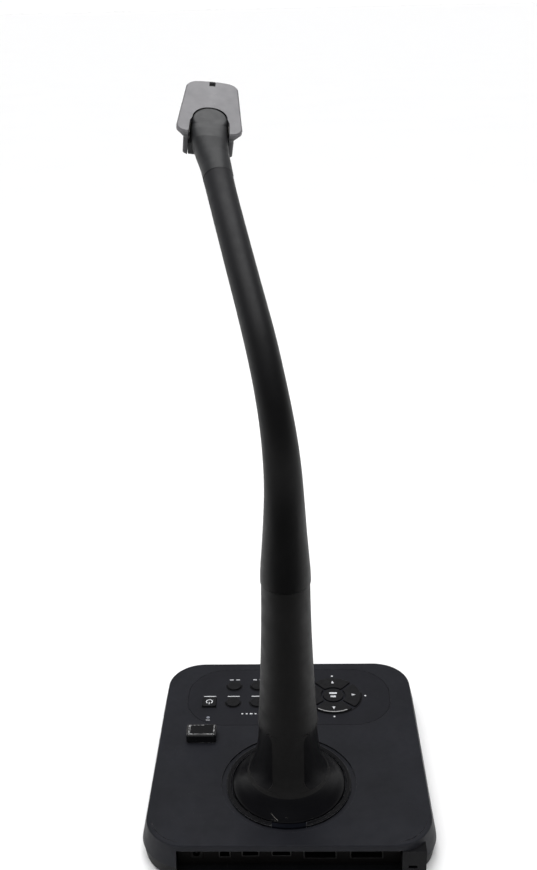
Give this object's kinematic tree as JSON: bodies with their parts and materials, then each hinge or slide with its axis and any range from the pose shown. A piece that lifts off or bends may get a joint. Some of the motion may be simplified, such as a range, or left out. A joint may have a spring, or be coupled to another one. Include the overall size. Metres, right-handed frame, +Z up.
{
  "type": "document camera",
  "caption": "Desk document camera: flat base with key panel, round column, curved arm that swivels, turning neck and a tilting camera head.",
  "frame": {"origin": "on the desk, under the middle of the base", "axes": "+Z up, -Y toward the side with the keys that the head hangs over, +X to the left of someone who looks from behind"},
  "size_m": [0.233, 0.3735, 0.5585],
  "materials": {
    "housing_plastic": "matt black moulded plastic",
    "deck_plastic": "matt black, finely grained",
    "panel_plastic": "matt black, smooth",
    "skirt_gloss": "glossy black, lightly scratched",
    "column_plastic": "satin charcoal",
    "arm_plastic": "satin black",
    "neck_plastic": "satin dark grey",
    "head_plastic": "matt mid grey",
    "head_lower_plastic": "matt dark grey",
    "ring_plastic": "glossy dark grey",
    "tab_plastic": "glossy blue black",
    "port_plastic": "matt black",
    "slider_gloss": "glossy black, worn at the edges",
    "lamp_lens": "frosted lamp lens, unlit",
    "socket_plastic": "black socket plastic",
    "socket_metal": "plated socket shell",
    "board_green": "circuit board",
    "ballast_steel": "plain steel plate",
    "tube_steel": "drawn steel tube",
    "spindle_metal": "turned steel",
    "bush_plastic": "natural bearing plastic",
    "barrel_plastic": "anodised look, black",
    "lens_glass": "coated lens glass",
    "lamp_clear": "clear lamp window",
    "mic_mesh": "black",
    "foot_rubber": "soft rubber",
    "screw_steel": "zinc plated",
    "key_rubber": "soft black key"
  },
  "bodies": {
    "base": {"analog_video_in": "socket_metal", "analog_video_out": "socket_metal", "ballast_plate": "ballast_steel", "base_pan": "housing_plastic", "base_screw_front_left": "screw_steel", "base_screw_front_right": "screw_steel", "base_screw_rear_left": "screw_steel", "base_screw_rear_right": "screw_steel", "column_shell": "column_plastic", "control_panel": "panel_plastic", "deck_cover": "deck_plastic", "digital_video_socket": "socket_metal", "foot_front_left": "foot_rubber", "foot_front_right": "foot_rubber", "foot_rear_left": "foot_rubber", "foot_rear_right": "foot_rubber", "key_board": "board_green", "main_board": "board_green", "mast": "tube_steel", "pivot_index_tab": "tab_plastic", "pivot_ring": "ring_plastic", "pivot_skirt": "skirt_gloss", "power_inlet": "socket_plastic", "power_lamp_lens": "lamp_lens", "rear_port_panel": "port_plastic", "security_slot_block": "housing_plastic", "swivel_bush": "bush_plastic", "usb_device_socket": "socket_metal", "usb_host_socket": "socket_metal"},
    "arm": {"arm_shell": "arm_plastic", "arm_core": "tube_steel", "arm_spindle": "spindle_metal", "thrust_washer": "bush_plastic", "neck_bearing": "bush_plastic"},
    "neck": {"neck_tongue": "neck_plastic", "neck_pin": "spindle_metal"},
    "head": {"head_top_shell": "head_plastic", "head_lower_shell": "head_lower_plastic", "tilt_axle": "spindle_metal", "tilt_washer_left": "bush_plastic", "tilt_washer_right": "bush_plastic", "camera_board": "board_green", "lens_barrel": "barrel_plastic", "lens_glass": "lens_glass", "lamp_window": "lamp_clear", "microphone": "mic_mesh"},
    "slider": {"thumb_slider": "slider_gloss"},
    "power_key_body": {"power_key": "key_rubber"},
    "key_near_left_body": {"key_near_left": "key_rubber"},
    "key_near_middle_body": {"key_near_middle": "key_rubber"},
    "key_near_right_body": {"key_near_right": "key_rubber"},
    "key_far_left_body": {"key_far_left": "key_rubber"},
    "key_far_middle_body": {"key_far_middle": "key_rubber"},
    "key_far_right_body": {"key_far_right": "key_rubber"},
    "nav_rear_body": {"nav_rear": "key_rubber"},
    "nav_left_body": {"nav_left": "key_rubber"},
    "nav_front_body": {"nav_front": "key_rubber"},
    "nav_right_body": {"nav_right": "key_rubber"},
    "nav_centre_body": {"nav_centre": "key_rubber"}
  },
  "joints": [
    {"name": "arm_swivel", "type": "hinge", "parent": "base", "child": "arm", "pos_m": [0, 0.0464, 0.223], "axis": [0, 0, 1], "range_deg": [-104.45, 75.55]},
    {"name": "neck_turn", "type": "hinge", "parent": "arm", "child": "neck", "pos_m": [0.0529, -0.15889, 0.4876], "axis": [0.2019, -0.7834, 0.5878], "range_deg": [-90, 90]},
    {"name": "head_tilt", "type": "hinge", "parent": "neck", "child": "head", "pos_m": [0.0619, -0.2033, 0.5236], "axis": [0.9906, 0.0641, 0.1206], "range_deg": [-40, 28]},
    {"name": "slider_slide", "type": "slide", "parent": "base", "child": "slider", "axis": [0, 1, 0], "range_m": [-0.004, 0.004]},
    {"name": "power_key_press", "type": "slide", "parent": "base", "child": "power_key_body", "axis": [0, 0, 1], "range_m": [-0.0008, 0], "stiffness_N_per_m": 700, "springref_m": 0.0006},
    {"name": "key_near_left_press", "type": "slide", "parent": "base", "child": "key_near_left_body", "axis": [0, 0, 1], "range_m": [-0.0008, 0], "stiffness_N_per_m": 700, "springref_m": 0.0006},
    {"name": "key_near_middle_press", "type": "slide", "parent": "base", "child": "key_near_middle_body", "axis": [0, 0, 1], "range_m": [-0.0008, 0], "stiffness_N_per_m": 700, "springref_m": 0.0006},
    {"name": "key_near_right_press", "type": "slide", "parent": "base", "child": "key_near_right_body", "axis": [0, 0, 1], "range_m": [-0.0008, 0], "stiffness_N_per_m": 700, "springref_m": 0.0006},
    {"name": "key_far_left_press", "type": "slide", "parent": "base", "child": "key_far_left_body", "axis": [0, 0, 1], "range_m": [-0.0008, 0], "stiffness_N_per_m": 700, "springref_m": 0.0006},
    {"name": "key_far_middle_press", "type": "slide", "parent": "base", "child": "key_far_middle_body", "axis": [0, 0, 1], "range_m": [-0.0008, 0], "stiffness_N_per_m": 700, "springref_m": 0.0006},
    {"name": "key_far_right_press", "type": "slide", "parent": "base", "child": "key_far_right_body", "axis": [0, 0, 1], "range_m": [-0.0008, 0], "stiffness_N_per_m": 700, "springref_m": 0.0006},
    {"name": "nav_rear_press", "type": "slide", "parent": "base", "child": "nav_rear_body", "axis": [0, 0, 1], "range_m": [-0.0008, 0], "stiffness_N_per_m": 700, "springref_m": 0.0006},
    {"name": "nav_left_press", "type": "slide", "parent": "base", "child": "nav_left_body", "axis": [0, 0, 1], "range_m": [-0.0008, 0], "stiffness_N_per_m": 700, "springref_m": 0.0006},
    {"name": "nav_front_press", "type": "slide", "parent": "base", "child": "nav_front_body", "axis": [0, 0, 1], "range_m": [-0.0008, 0], "stiffness_N_per_m": 700, "springref_m": 0.0006},
    {"name": "nav_right_press", "type": "slide", "parent": "base", "child": "nav_right_body", "axis": [0, 0, 1], "range_m": [-0.0008, 0], "stiffness_N_per_m": 700, "springref_m": 0.0006},
    {"name": "nav_centre_press", "type": "slide", "parent": "base", "child": "nav_centre_body", "axis": [0, 0, 1], "range_m": [-0.0008, 0], "stiffness_N_per_m": 700, "springref_m": 0.0006}
  ]
}
